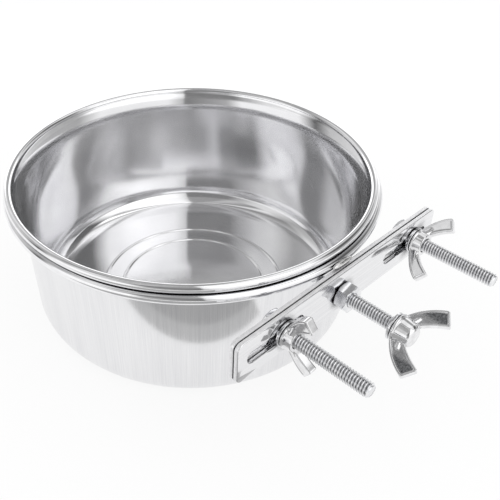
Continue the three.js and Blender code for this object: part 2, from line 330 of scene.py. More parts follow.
# The strip's outer edges, rolled and deburred: bright but not clear
def rolledEdge():
    material, tree, shader, place = metalMaterial("rolled steel edge")
    cloud = add(tree, "ShaderNodeTexNoise", None, {"Vector": place, "Scale": 1 / (2 * mm), "Detail": 3.0})
    feed(tree, shader, {"Base Color": tinted(tree, cloud, "#e6e6e8", "#f6f6f7"), "Roughness": 0.4})
    feed(tree, shader, {"Metallic": 0.7})
    return material


# Bright zinc on steel: rolled threads, the nut and the washers, uneven in its shine, with painted shade in
# the grooves
def zincPlate():
    material, tree, shader, place = metalMaterial("bright zinc plate")
    cloud = add(tree, "ShaderNodeTexNoise", None, {"Vector": place, "Scale": 1 / (2.38 * mm), "Detail": 4.0})
    plate = tinted(tree, cloud, "#dcdde0", "#f2f2f3")
    # painted shade: the groove mark darkens the thread's grooves
    groove = add(tree, "ShaderNodeAttribute", {"attribute_name": "groove"}).outputs["Fac"]
    colour = add(tree, "ShaderNodeMix", asColour, {0: groove, 6: plate, 7: linear("#a6a6a8")})
    rough = add(tree, "ShaderNodeMapRange", None, {"Value": cloud, **noiseTo(0.07, 0.15)})
    relief = add(tree, "ShaderNodeBump", None, {"Strength": 0.1, "Distance": 0.03 * mm, "Height": cloud})
    feed(tree, shader, {"Base Color": colour, "Roughness": rough, "Normal": relief})
    return material


# Nickel on a die casting: bright raised borders, and recesses as grainy as the mould left them and painted
# dark as shade, with a grain drawn coarse enough to show, and painted shade where another surface is near
def castNickel():
    material, tree, shader, place = metalMaterial("nickel plated casting")
    recess = add(tree, "ShaderNodeAttribute", {"attribute_name": "recess"}).outputs["Fac"]
    grain = add(tree, "ShaderNodeTexNoise", None, {"Vector": place, "Scale": 1 / (0.625 * mm), "Detail": 4.0})
    cloud = add(tree, "ShaderNodeTexNoise", None, {"Vector": place, "Scale": 1 / (2.86 * mm), "Detail": 3.0})
    bright, grainAndShade = tinted(tree, cloud, "#dededf", "#f3f3f4"), tinted(tree, grain, "#4f5052", "#9c9d9f")
    # painted shade: the recesses take the dark grainy colour
    cast = add(tree, "ShaderNodeMix", asColour, {0: recess, 6: bright, 7: grainAndShade})
    colour = paintedGapShade(tree, cast, "#303031", 1.2, 0.3, 0.8)
    smooth = add(tree, "ShaderNodeMapRange", None, {"Value": cloud, **noiseTo(0.06, 0.14)})
    coarse = add(tree, "ShaderNodeMapRange", None, {"Value": grain, **noiseTo(0.3, 0.5)})
    rough = add(tree, "ShaderNodeMix", None, {0: recess, 2: smooth, 3: coarse})
    depth = add(tree, "ShaderNodeMath", {"operation": "MULTIPLY"}, {0: recess, 1: grain})
    relief = add(tree, "ShaderNodeBump", None, {"Strength": 0.8, "Distance": 0.1 * mm, "Height": depth})
    feed(tree, shader, {"Base Color": colour, "Roughness": rough, "Normal": relief})
    return material


# Weld metal, brushed clean: duller than the rod, with small ripples and pits, painted dark as shade in the
# pits and where another surface is near
def weldMetal():
    material, tree, shader, place = metalMaterial("brushed weld metal")
    ripple = add(tree, "ShaderNodeTexNoise", None, {"Vector": place, "Scale": 1 / (1.43 * mm), "Detail": 4.0})
    clean = tinted(tree, ripple, "#c9c8c7", "#f0f0ef")
    pit = add(tree, "ShaderNodeAttribute", {"attribute_name": "pit"}).outputs["Fac"]
    pitShaded = add(tree, "ShaderNodeMix", asColour, {0: pit, 6: clean, 7: linear("#2e2d2c")})
    colour = paintedGapShade(tree, pitShaded, "#2a2a2b", 2, 0.2, 0.6)
    rough = add(tree, "ShaderNodeMapRange", None, {"Value": ripple, **noiseTo(0.15, 0.32)})
    relief = add(tree, "ShaderNodeBump", None, {"Strength": 0.5, "Distance": 0.1 * mm, "Height": ripple})
    feed(tree, shader, {"Base Color": colour, "Roughness": rough, "Normal": relief})
    return material


linished, satin, polished = linishedSteel(), satinSteel(), polishedSteel()
strip, shearedAndGapShade, zinc = stripSteel(), shearedSteelAndGapShade(), zincPlate()
nickel, weld, edged = castNickel(), weldMetal(), rolledEdge()
print("materials made")


# Bowl: a profile turned about the axis, with a curled rim and two pressed rings in its floor

bowlSizes = {
    "sheet": 0.8,
    "bead": 1.95,
    "flareWidth": 2.5,
    "flareHeight": 8,
    "flareBend": 0.65,  # how far up the flare the wall bends outwards
    "beadJoin": -125,  # where the wall meets the curl, in degrees
    "taper": 1.6,  # how much the foot is narrower than the wall
    "corner": 12,
    "rings": (48, 38.1),
    "ringWidth": 2.4,
    "ringHeight": 0.5,
    "ringSteps": 10,
    "steps": (28, 18, 10),  # of the curl, the corner and the flare
    "segments": 256,
    "smoothUpTo": 60,
}


def bowlProfile(sizes, rim, height):  # radius and height, from the underside round to the floor
    bead, sheet, corner = sizes["bead"], sizes["sheet"], sizes["corner"]
    curlSteps, cornerSteps, bendSteps = sizes["steps"]
    wall = rim - 2 * bead - sizes["flareWidth"]
    foot = wall - sizes["taper"]
    flareFoot = height - 2 * bead - sizes["flareHeight"]
    flareBend = flareFoot + sizes["flareHeight"] * sizes["flareBend"]
    beadMiddle = (rim - bead, height - bead)
    footMiddle = (foot - corner, corner)
    curl = arc(beadMiddle, bead, sizes["beadJoin"], 180, curlSteps)
    points = [(0, 0)]
    points += arc(footMiddle, corner, -90, 0, cornerSteps)
    points += bend((wall, flareFoot), (wall, flareBend), curl[0], bendSteps)
    points += curl[1:]
    points += bend(curl[-1], (wall - sheet, flareBend), (wall - sheet, flareFoot), bendSteps)[1:]
    points += arc(footMiddle, corner - sheet, 0, -90, cornerSteps)
    ring, steps = sizes["ringWidth"], sizes["ringSteps"]
    for radius in sizes["rings"]:  # each pressed ring is one smooth swell
        for i in range(steps + 1):
            swell = sizes["ringHeight"] * math.sin(math.pi * i / steps) ** 2
            points.append((radius + ring / 2 - ring * i / steps, sheet + swell))
    points.append((0, sheet))
    return points


def turningTree():
    tree, given = newTree("Turned profile", [
        ("Segments", "NodeSocketInt", 64),
        ("Points", "NodeSocketInt", 10),
        ("Material", "NodeSocketMaterial", None),
    ])
    columns = add(tree, "ShaderNodeMath", {"operation": "ADD"}, {0: given["Segments"], 1: 1.0})
    counts = {"Vertices X": columns, "Vertices Y": given["Points"]}
    grid = add(tree, "GeometryNodeMeshGrid", None, {"Size X": 1.0, "Size Y": 1.0, **counts})
    place = add(tree, "GeometryNodeInputPosition")
    spot = add(tree, "ShaderNodeSeparateXYZ", None, {0: place}).outputs
    along = add(tree, "ShaderNodeMath", {"operation": "ADD"}, {0: spot[1], 1: 0.5})
    last = add(tree, "ShaderNodeMath", {"operation": "SUBTRACT"}, {0: given["Points"], 1: 1.0})
    share = add(tree, "ShaderNodeMath", {"operation": "MULTIPLY"}, {0: along, 1: last})
    row = add(tree, "ShaderNodeMath", {"operation": "ROUND"}, {0: share})
    looked = {"Geometry": given["Geometry"], "Index": row, "Value": place}
    taken = add(tree, "GeometryNodeSampleIndex", {"data_type": "FLOAT_VECTOR"}, looked)
    turn = add(tree, "ShaderNodeMath", {"operation": "MULTIPLY_ADD"}, {0: spot[0], 1: math.tau, 2: math.pi})
    swung = add(tree, "ShaderNodeVectorRotate", {"rotation_type": "Z_AXIS"}, {"Vector": taken, "Angle": turn})
    moved = add(tree, "GeometryNodeSetPosition", None, {"Geometry": grid, "Position": swung})
    closed = add(tree, "GeometryNodeMergeByDistance", None, {"Geometry": moved, "Distance": mergeGap})
    closeTree(tree, closed, given["Material"])
    return tree


turning = turningTree()


def turnedMesh(name, profile, segments, material):  # a profile in millimetres, turned round
    seed = bpy.data.meshes.new(name + "Profile")
    seed.from_pydata([(r * mm, 0, z * mm) for r, z in profile], [], [])
    return grow(name, turning, {"Segments": segments, "Points": len(profile), "Material": material}, seed)


def makeBowl(sizes):
    low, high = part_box("bowl")
    rim, height = (high.x - low.x) / 2 / mm, high.z / mm
    turned = turnedMesh("bowl", bowlProfile(sizes, rim, height), sizes["segments"], linished)
    mesh = cleaned(turned, None, sizes["smoothUpTo"])
    piece("pressedBowl", mesh, [linished, satin, polished], "bowl", "bowl_steel", "bowl")
    curlFoot = (height - 2 * sizes["bead"]) * mm
    for face in mesh.polygons:
        outward = Vector((face.center.x, face.center.y, 0)).normalized().dot(face.normal)
        inside = outward < 0.2 and face.normal.z > -0.5  # not the wall's outside and not the underside
        if face.center.z > curlFoot:
            face.material_index = 2
        elif inside:
            face.material_index = 1


makeBowl(bowlSizes)
print("bowl made")


# Support ring: one rod bent round

ringSizes = {"steps": 256, "rodSteps": 28, "smoothUpTo": 60}


def rodTree():
    tree, given = newTree("Bent rod", [
        ("Radius", "NodeSocketFloat", 0.09),
        ("Rod", "NodeSocketFloat", 0.0025),
        ("Steps", "NodeSocketInt", 256),
        ("Rod steps", "NodeSocketInt", 28),
        ("Material", "NodeSocketMaterial", None),
    ])
    circle = "GeometryNodeCurvePrimitiveCircle"
    path = add(tree, circle, None, {"Resolution": given["Steps"], "Radius": given["Radius"]})
    section = add(tree, circle, None, {"Resolution": given["Rod steps"], "Radius": given["Rod"]})
    swept = add(tree, "GeometryNodeCurveToMesh", None, {"Curve": path, "Profile Curve": section})
    closeTree(tree, swept, given["Material"])
    return tree


def makeRing(sizes):
    low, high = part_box("support_ring")
    rod = (high.z - low.z) / 2
    radius = (high.x - low.x) / 2 - rod
    values = {"Radius": radius, "Rod": rod, "Steps": sizes["steps"], "Rod steps": sizes["rodSteps"]}
    mesh = grow("ring", rodTree(), {**values, "Material": polished})
    cleaned(mesh, Matrix.Translation((low + high) / 2), sizes["smoothUpTo"])
    piece("ringRod", mesh, [polished], "holder", "rod_steel", "support_ring")


makeRing(ringSizes)


# Weld between the rod and the back plate: one lump, with small pits low in its front, marked for painted
# shade

weldSizes = {
    "lengthen": 1.1,
    "swell": 0.16,  # a share of its size
    "lumpsPerMetre": 380,
    "pits": ((-2.6, 0.75), (-0.2, 0.6), (3.6, 0.6)),  # place along the rod and size, in millimetres
    "pitDepth": 0.22,
    "pitFlatness": 2.2,
    "pitDrop": 0.9,
    "smoothUpTo": 60,
}


def makeWeld(sizes):
    low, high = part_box("ring_weld")
    centre, half = (low + high) / 2, (high - low) / 2
    half.x *= sizes["lengthen"]
    work = bmesh.new()
    bmesh.ops.create_icosphere(work, subdivisions=5, radius=1)
    work.verts.index_update()
    paintedShade = [0.0] * len(work.verts)
    for vertex in work.verts:
        direction = vertex.co.copy()
        spot = Vector([centre[i] + half[i] * direction[i] for i in range(3)])
        swell = 1 + sizes["swell"] * noise.noise(spot * sizes["lumpsPerMetre"])
        down = direction.z * sizes["pitFlatness"] + sizes["pitDrop"]
        for place, size in sizes["pits"]:
            away = Vector((spot.x / mm - place, down)).length
            if direction.y < 0 and away < size:
                swell -= sizes["pitDepth"] * (1 - away / size)
                # each pit's share of painted shade
                paintedShade[vertex.index] = 1 - away / size
        vertex.co = [centre[i] + half[i] * direction[i] * swell for i in range(3)]
    mesh = bpy.data.meshes.new("weld")
    work.to_mesh(mesh)
    work.free()
    mesh.attributes.new("pit", "FLOAT", "POINT").data.foreach_set("value", paintedShade)
    cleaned(mesh, None, sizes["smoothUpTo"])
    piece("ringWeld", mesh, [weld], "holder", "weld_metal", "ring_weld")


makeWeld(weldSizes)
print("ring and weld made")


# Plates: flat strip with rounded corners, two slots and a hole for the wing screw

plateSizes = {
    "corner": 3,
    "edge": 0.35,
    "slotLength": 32.5,
    "slotHeight": 7,
    "slotEndWall": 5.5,
    "holeRadius": 3.5,
    "holeSteps": 48,
    "endMargin": 2,  # faces farther in than this may be a slot's
    "slotMargin": 0.2,
}


def flatSlab(name, outlines, thickness, edge):  # closed outlines in XY, holes among them, with rounded edges
    curve = bpy.data.curves.new(name, "CURVE")
    curve.dimensions = "2D"
    curve.fill_mode = "BOTH"
    curve.extrude = thickness / 2 - edge
    curve.bevel_depth = edge
    curve.bevel_resolution = 3
    curve.offset = -edge
    for outline in outlines:
        spline = curve.splines.new("POLY")
        spline.points.add(len(outline) - 1)
        for point, (x, y) in zip(spline.points, outline):
            point.co = (x, y, 0, 1)
        spline.use_cyclic_u = True
    obj = bpy.data.objects.new(name, curve)
    scene.collection.objects.link(obj)
    return settled(obj)


def roundedBox(x, y, width, height, corner, steps=12):  # an outline round a middle
    reachX, reachY = width / 2 - corner, height / 2 - corner
    points = []
    for sideX, sideY, start in ((1, 1, 0), (-1, 1, 90), (-1, -1, 180), (1, -1, 270)):
        points += arc((x + sideX * reachX, y + sideY * reachY), corner, start, start + 90, steps)
    return points


def standUp(centre):  # XY to XZ, with the drawing's +Z facing -Y
    return Matrix.Translation(centre) @ Matrix.Rotation(math.pi / 2, 4, "X")


def makePlate(name, node, body, matingSide, sizes):  # matingSide: the way to the other plate
    low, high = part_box(node)
    centre = (low + high) / 2
    length, thickness, height = high - low
    slotPlace = length / 2 - (sizes["slotEndWall"] + sizes["slotLength"] / 2) * mm
    slotSize = (sizes["slotLength"] * mm, sizes["slotHeight"] * mm, sizes["slotHeight"] * mm / 2)
    screwLow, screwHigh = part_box("screw_stud")
    screwX = (screwLow.x + screwHigh.x) / 2
    screwZ = (screwLow.z + screwHigh.z) / 2 - centre.z
    outlines = [
        roundedBox(0, 0, length, height, sizes["corner"] * mm),
        roundedBox(-slotPlace, 0, *slotSize),
        roundedBox(slotPlace, 0, *slotSize),
        arc((screwX, screwZ), sizes["holeRadius"] * mm, 0, 360, sizes["holeSteps"])[:-1],
    ]
    mesh = flatSlab(name, outlines, thickness, sizes["edge"] * mm)
    cleaned(mesh, standUp(centre))
    piece(name, mesh, [strip, shearedAndGapShade, edged], body, "plate_steel", node)
    slotReach = length / 2 - sizes["endMargin"] * mm
    slotHalf = (sizes["slotHeight"] / 2 + sizes["slotMargin"]) * mm
    wallUpTo, flatFrom, floorFrom = 0.3, 0.97, 0.2  # how far a face's normal leans to the side or upwards
    for face in mesh.polygons:
        offset = face.center - centre
        inSlot = abs(offset.x) < slotReach and abs(offset.z) < slotHalf
        wall = abs(face.normal.y) < wallUpTo
        # painted shade: the edges that face the other plate get the dark sheared steel, and the slot walls
        # that do not face up get it partly as painted shade
        gapShaded = wallUpTo < face.normal.y * matingSide < flatFrom
        if gapShaded or (inSlot and wall and face.normal.z < floorFrom):
            face.material_index = 1
        elif wall and not inSlot:
            face.material_index = 2


makePlate("backPlate", "back_plate", "holder", -1, plateSizes)
makePlate("frontPlate", "front_plate", "front_plate", 1, plateSizes)
print("plates made")


# Screws: quarter-inch shanks with their rolled thread, twenty turns to the inch

threadSizes = {
    "diameter": 6.35,
    "pitch": 1.27,
    "depth": 0.72,
    "chamfer": 0.85,
    "stepsPerTurn": 40,
    "rows": 9,
    "grooveShadeFrom": 1 / 3,  # of the groove's depth
    "smoothUpTo": 70,
}


def threadTree():
    tree, given = newTree("Screw thread", [
        ("Length", "NodeSocketFloat", 0.05),
        ("Diameter", "NodeSocketFloat", 0.00635),
        ("Pitch", "NodeSocketFloat", 0.00127),
        ("Depth", "NodeSocketFloat", 0.0007),
        ("Chamfer", "NodeSocketFloat", 0.0008),
        ("Steps per turn", "NodeSocketInt", 40),
        ("Rows", "NodeSocketInt", 9),
        ("Material", "NodeSocketMaterial", None),
    ])
    spot = add(tree, "ShaderNodeSeparateXYZ", None, {0: add(tree, "GeometryNodeInputPosition")}).outputs
    known = {socket.name: socket for socket in given}
    known.update({"grid x": spot[0], "grid y": spot[1]})
    steepness, crest = 1.5, 0.28  # the groove's flanks between its flat crest and its flat root
    steps = (  # one step of arithmetic a row: its result, its operation and what goes in
        ("turns in length", "DIVIDE", "Length", "Pitch"),
        ("whole turns", "CEIL", "turns in length"),
        ("turns", "ADD", "whole turns", 2.0),
        ("columns", "MULTIPLY_ADD", "turns", "Steps per turn", 1.0),
        ("along", "ADD", "grid x", 0.5),
        ("turn", "MULTIPLY", "along", "turns"),
        ("across", "ADD", "grid y", 0.5),
        ("risen", "ADD", "turn", "across"),
        ("risen from end", "ADD", "risen", -1.0),
        ("height", "MULTIPLY", "risen from end", "Pitch"),
        ("side", "MULTIPLY_ADD", "across", 2.0, -1.0),
        ("flank", "ABSOLUTE", "side"),
        ("slope", "MULTIPLY_ADD", "flank", steepness, -crest),
        ("past crest", "MAXIMUM", "slope", 0.0),
        ("fall", "MINIMUM", "past crest", 1.0),
        ("radius", "MULTIPLY", "Diameter", 0.5),
        ("groove", "MULTIPLY", "fall", "Depth"),
        ("thread", "SUBTRACT", "radius", "groove"),
        ("tip", "SUBTRACT", "radius", "Chamfer"),
        ("above", "MAXIMUM", "height", 0.0),
        ("left over", "SUBTRACT", "Length", "height"),
        ("below", "MAXIMUM", "left over", 0.0),
        ("nearest end", "MINIMUM", "above", "below"),
        ("chamfered", "ADD", "tip", "nearest end"),
        ("limited", "MINIMUM", "thread", "chamfered"),
        ("gaps", "SUBTRACT", "Rows", 1.0),
        ("row", "DIVIDE", "Pitch", "gaps"),
        ("start", "MULTIPLY", "row", -1.0),
        ("started", "GREATER_THAN", "height", "start"),
        ("end", "ADD", "Length", "row"),
        ("not ended", "LESS_THAN", "height", "end"),
        ("on the screw", "MULTIPLY", "started", "not ended"),
        ("reach", "MULTIPLY", "limited", "on the screw"),
        ("level", "MINIMUM", "above", "Length"),
        ("angle", "MULTIPLY", "turn", math.tau),
        ("cosine", "COSINE", "angle"),
        ("sine", "SINE", "angle"),
        ("x", "MULTIPLY", "reach", "cosine"),
        ("y", "MULTIPLY", "reach", "sine"),
    )
    for result, operation, *values in steps:
        inputs = {i: known.get(value, value) for i, value in enumerate(values)}
        known[result] = add(tree, "ShaderNodeMath", {"operation": operation}, inputs)
    counts = {"Vertices X": known["columns"], "Vertices Y": given["Rows"]}
    grid = add(tree, "GeometryNodeMeshGrid", None, {"Size X": 1.0, "Size Y": 1.0, **counts})
    place = add(tree, "ShaderNodeCombineXYZ", None, {0: known["x"], 1: known["y"], 2: known["level"]})
    moved = add(tree, "GeometryNodeSetPosition", None, {"Geometry": grid, "Position": place})
    closed = add(tree, "GeometryNodeMergeByDistance", None, {"Geometry": moved, "Distance": mergeGap})
    closeTree(tree, closed, given["Material"])
    return tree


threading = threadTree()


def threadedRod(length, sizes):  # from 0 to length along +Z, with the painted shade in its grooves marked
    values = {name: sizes[name.lower()] * mm for name in ("Diameter", "Pitch", "Depth", "Chamfer")}
    values.update({"Length": length, "Steps per turn": sizes["stepsPerTurn"], "Rows": sizes["rows"]})
    mesh = cleaned(grow("thread", threading, {**values, "Material": zinc}), None, sizes["smoothUpTo"])
    crest, chamfer = sizes["diameter"] / 2 * mm, sizes["chamfer"] * mm
    groove = mesh.attributes.new("groove", "FLOAT", "POINT")
    for point, vertex in zip(groove.data, mesh.vertices):
        depth = (crest - math.hypot(vertex.co.x, vertex.co.y)) / (sizes["depth"] * mm)
        grooveShade = (depth - sizes["grooveShadeFrom"]) / (1 - sizes["grooveShadeFrom"])
        inThread = chamfer < vertex.co.z < length - chamfer
        point.value = min(max(grooveShade, 0), 1) * inThread
    return mesh


# Hexagons: the bolts' heads and the nut on the front plate, turned down at their corners

hexSizes = {
    "acrossFlats": 11.1,
    "corner": 0.9,
    "slope": 30,
    "levels": (0, 0.12, 0.3, 0.5, 0.75, 1.1),  # rings of points, from each end inwards
    "headHeight": 4.1,
    "headTurn": 30,
    "bore": 3.2,
    "boreEase": 0.5,
    "nutTurn": 39,
    "steps": 120,
    "smoothUpTo": 28,
}


def hexRadius(angle, flats):  # how far a hexagon's side is from its middle
    return flats / 2 / math.cos((angle + math.pi / 6) % (math.pi / 3) - math.pi / 6)


def hexMesh(height, sizes, bored):  # from 0 to height along +Z, in millimetres
    flats, steps = sizes["acrossFlats"], sizes["steps"]
    slope = math.tan(math.radians(sizes["slope"]))
    levels = [*sizes["levels"], height / 2, *[height - level for level in reversed(sizes["levels"])]]
    widest = flats / 2 / math.cos(math.pi / 6)
    angles = [math.tau * i / steps for i in range(steps)]
    rows = []
    for level in levels:
        limit = widest - sizes["corner"] + min(level, height - level) / slope
        rows.append([(min(hexRadius(angle, flats), limit), angle, level) for angle in angles])
    if bored:
        bore, ease = sizes["bore"], sizes["boreEase"]
        for radius, level in ((bore + ease, height), (bore, height - ease), (bore, ease), (bore + ease, 0)):
            rows.append([(radius, angle, level) for angle in angles])
    points = [(r * math.cos(a) * mm, r * math.sin(a) * mm, z * mm) for row in rows for r, a, z in row]
    count = len(rows)
    faces = []
    for j in range(count if bored else count - 1):
        for i in range(steps):
            a, b = j * steps + i, j * steps + (i + 1) % steps
            c, d = (j + 1) % count * steps + (i + 1) % steps, (j + 1) % count * steps + i
            faces.append((a, b, c, d))
    if not bored:
        faces += [tuple(range(steps)), tuple(range((count - 1) * steps, count * steps))]
    mesh = bpy.data.meshes.new("hexagon")
    mesh.from_pydata(points, [], faces)
    return cleaned(mesh, None, sizes["smoothUpTo"])


def facingOut(node, back, turn=0):  # to a node's axis, +Z facing -Y from back on, after a turn about it
    low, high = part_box(node)
    place = Matrix.Translation(((low.x + high.x) / 2, back, (low.z + high.z) / 2))
    return place @ Matrix.Rotation(math.pi / 2, 4, "X") @ Matrix.Rotation(math.radians(turn), 4, "Z")


def makeBolt(side, thread, hexagon):
    node = side + "_bolt"
    low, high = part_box(node)
    lift = hexagon["headHeight"] * mm / 2  # the shank starts inside the head
    head = hexMesh(hexagon["headHeight"], hexagon, False)
    head.transform(Matrix.Rotation(math.radians(hexagon["headTurn"]), 4, "Z"))
    head.attributes.new("groove", "FLOAT", "POINT")  # as on the shank, with none of the painted groove shade
    shank = threadedRod(high.y - low.y - lift, thread)
    shank.transform(Matrix.Translation((0, 0, lift)))
    mesh = joined([head, shank])
    mesh.transform(facingOut(node, high.y))
    mesh.set_sharp_from_angle(angle=math.radians(thread["smoothUpTo"]))
    piece(side + "Bolt", mesh, [zinc], node, "plated_steel", node)


def makeStud(thread):
    low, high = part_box("screw_stud")
    mesh = threadedRod(high.y - low.y, thread)
    mesh.transform(facingOut("screw_stud", high.y))
    piece("screwStud", mesh, [zinc], "wing_screw", "plated_steel", "screw_stud")


def makeWeldNut(sizes):
    low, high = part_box("weld_nut")
    mesh = hexMesh((high.y - low.y) / mm, sizes, True)
    mesh.transform(facingOut("screw_stud", high.y, sizes["nutTurn"]))
    piece("weldedNut", mesh, [zinc], "front_plate", "plated_steel", "weld_nut")


makeBolt("left", threadSizes, hexSizes)
makeBolt("right", threadSizes, hexSizes)
makeStud(threadSizes)
makeWeldNut(hexSizes)
print("screws made")


# Washers: stamped discs with one rounded edge

washerSizes = {"bore": 3.35, "edgeRound": 0.35, "footRound": 0.1, "segments": 96}


def makeWasher(name, node, body, sizes):
    low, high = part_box(node)
    radius, thick = (high.x - low.x) / 2 / mm, (high.y - low.y) / mm
    foot, edge = sizes["footRound"], sizes["edgeRound"]
    profile = [(sizes["bore"], 0)]
    profile += arc((radius - foot, foot), foot, -90, 0, 3)
    profile += arc((radius - edge, thick - edge), edge, 0, 90, 6)
    profile += [(sizes["bore"], thick), (sizes["bore"], 0)]
    mesh = cleaned(turnedMesh(name, profile, sizes["segments"], zinc))
    mesh.transform(facingOut(node, high.y))
    piece(name, mesh, [zinc], body, "plated_steel", node)


makeWasher("leftWasher", "left_washer", "left_washer", washerSizes)
makeWasher("rightWasher", "right_washer", "right_washer", washerSizes)
makeWasher("screwWasher", "centre_washer", "centre_washer", washerSizes)


# Cast wing heads: a round hub and two wings with a raised border, melted together as a casting is

wingSizes = {
    "hubRadius": 5.6,
    "hubSegments": 96,
    "draft": 0.5,  # how much the hub narrows to its top
    "bore": 3.25,
    "boreEase": 0.4,
    "wingStart": 0.7,  # past the bore, so that the wings reach into the hub
    "outlineSteps": (12, 6),  # in a long curve and at a rounded corner
    "roundSteps": 10,
    "border": 1.05,
    "borderEdge": 0.3,
    "coreEdge": 0.2,
    "cornerRound": 1,
    "webEdge": 1.1,
    "webRise": 0.32,  # upwards for each millimetre outwards
    "webFlare": 1.15,
    "webStart": 2,  # from the axis, inside the hub
    "voxel": 0.17,
    "softenSteps": 6,
    "grain": 0.05,
    "grainsPerMetre": 2600,
    "grainStages": ((5.6, 0.8, 0.35), (9.4, 1.6, 0.65)),  # from which radius, over what length, and its share
}
nutWing = {
    "thickness": 3.8,
    "recess": 0.12,
    "hub": 5,
    "bored": 5,
    "collar": 5.9,
    "collarHeight": 0.9,
    "shadedGrain": 0,  # 1 for grainy recesses, painted dark as shade
    "edge": 0.5,
    "root": 0.2,
    "webFoot": 0,
    "webHeight": 3,
    "web": (4.4, 5, 8.2),  # its half width at the hub, where it turns and where it ends
    "knee": (13, 3.8),
    "out": (16.4, 9.7),
    "top": (11.2, 13.2),
    "dip": (7.8, 6.9),
    "valley": 4.2,
}
screwWing = {
    "thickness": 2.9,
    "recess": 0.55,
    "hub": 8.4,
    "bored": 7.3,
    "collar": 6.5,
    "collarHeight": 1.5,
    "shadedGrain": 1,
    "edge": 2.4,
    "root": 0.2,
    "webFoot": 1.6,
    "webHeight": 2.4,
    "web": (2.4, 4.5, 8),
    "knee": (12.9, 4.5),
    "out": (16.8, 13.1),
    "top": (10.9, 17.1),
    "dip": (7.8, 10.1),
    "valley": 6.2,
}


def inset(points, distance):  # corners moved square to their edges, into an anticlockwise outline
    moved = []
    for i, point in enumerate(points):
        a = (point - points[i - 1]).normalized()
        b = (points[(i + 1) % len(points)] - point).normalized()
        moved.append(point + Vector((-a.y - b.y, a.x + b.x)) * distance / (1 + a.dot(b)))
    return moved


def wingOutline(wing, sizes, border, rounding):  # distance from the axis and height, in millimetres
    inner, root = sizes["bore"] + sizes["wingStart"], wing["root"]
    corners = [(inner, root), (sizes["hubRadius"], root), wing["knee"], wing["out"], wing["top"], wing["dip"]]
    corners.append((inner, wing["valley"]))
    start, foot, knee, out, top, dip, valley = inset([Vector(c) for c in corners], border)
    outEnd = out + (knee - out).normalized() * rounding
    tipStart = out + (top - out).normalized() * rounding
    tipEnd = top + (out - top).normalized() * rounding
    topEnd = top + (dip - top).normalized() * rounding
    points = [tuple(start)]
    longSteps, shortSteps = sizes["outlineSteps"]
    points += bend(foot, knee, outEnd, longSteps) + bend(outEnd, out, tipStart, shortSteps)[1:]
    points += bend(tipEnd, top, topEnd, shortSteps) + bend(topEnd, dip, valley, longSteps)[1:]
    return points


def webOutline(wing, sizes):  # from above: a fillet from the hub's full width to the wing's thickness
    half = wing["thickness"] / 2 * mm
    wide, turn, end = [value * mm for value in wing["web"]]
    start = (sizes["webStart"] * mm, wide)
    upper = bend((end, half), (turn, half * sizes["webFlare"]), start, sizes["roundSteps"])
    return upper + [(x, -y) for x, y in reversed(upper)]


def hubProfile(wing, sizes):  # radius and height: a round foot, a drafted side and an open or closed bore
    bore, ease, edge, top = sizes["bore"], sizes["boreEase"], wing["edge"], wing["hub"]
    foot, steps = wing["collarHeight"] / 2, sizes["roundSteps"]
    profile = [(bore, 0), *arc((wing["collar"] - foot, foot), foot, -90, 90, steps)]
    profile += arc((sizes["hubRadius"] - sizes["draft"] - edge, top - edge), edge, 0, 90, steps)
    if wing["bored"] < top:
        return profile + [(0, top), (0, wing["bored"]), (bore, wing["bored"]), (bore, 0)]
    return profile + [(bore + ease, top), (bore, top - ease), (bore, 0)]


def wingHead(name, wing, sizes):  # its foot at 0, its wings along X, its bore along Z, in metres
    shells = [cleaned(turnedMesh(name, hubProfile(wing, sizes), sizes["hubSegments"], nickel))]
    outer = wingOutline(wing, sizes, 0, sizes["cornerRound"])
    inner = wingOutline(wing, sizes, sizes["border"], sizes["cornerRound"] / 2)
    scaled = [[(x * mm, y * mm) for x, y in outline] for outline in (outer, inner)]
    core = (wing["thickness"] - 2 * wing["recess"]) * mm
    rise = Matrix.Identity(4)
    rise[2][0] = sizes["webRise"]
    lift = Matrix.Translation((0, 0, (wing["webHeight"] / 2 + wing["webFoot"]) * mm))
    for turn in (0, 180):
        swung = Matrix.Rotation(math.radians(turn), 4, "Z")
        upright = swung @ standUp((0, 0, 0))
        plain = flatSlab(name, scaled[:1], core, sizes["coreEdge"] * mm)
        bordered = flatSlab(name, scaled, wing["thickness"] * mm, sizes["borderEdge"] * mm)
        web = flatSlab(name, [webOutline(wing, sizes)], wing["webHeight"] * mm, sizes["webEdge"] * mm)
        for shell, place in ((plain, upright), (bordered, upright), (web, swung @ lift @ rise)):
            shells.append(cleaned(shell, place))
    obj = bpy.data.objects.new(name, joined(shells))
    scene.collection.objects.link(obj)
    melt = obj.modifiers.new("melt", "REMESH")
    melt.mode = "VOXEL"
    melt.voxel_size = sizes["voxel"] * mm
    soften = obj.modifiers.new("soften", "SMOOTH")
    soften.factor = 0.5
    soften.iterations = sizes["softenSteps"]
    return grained(settled(obj), sizes, wing)


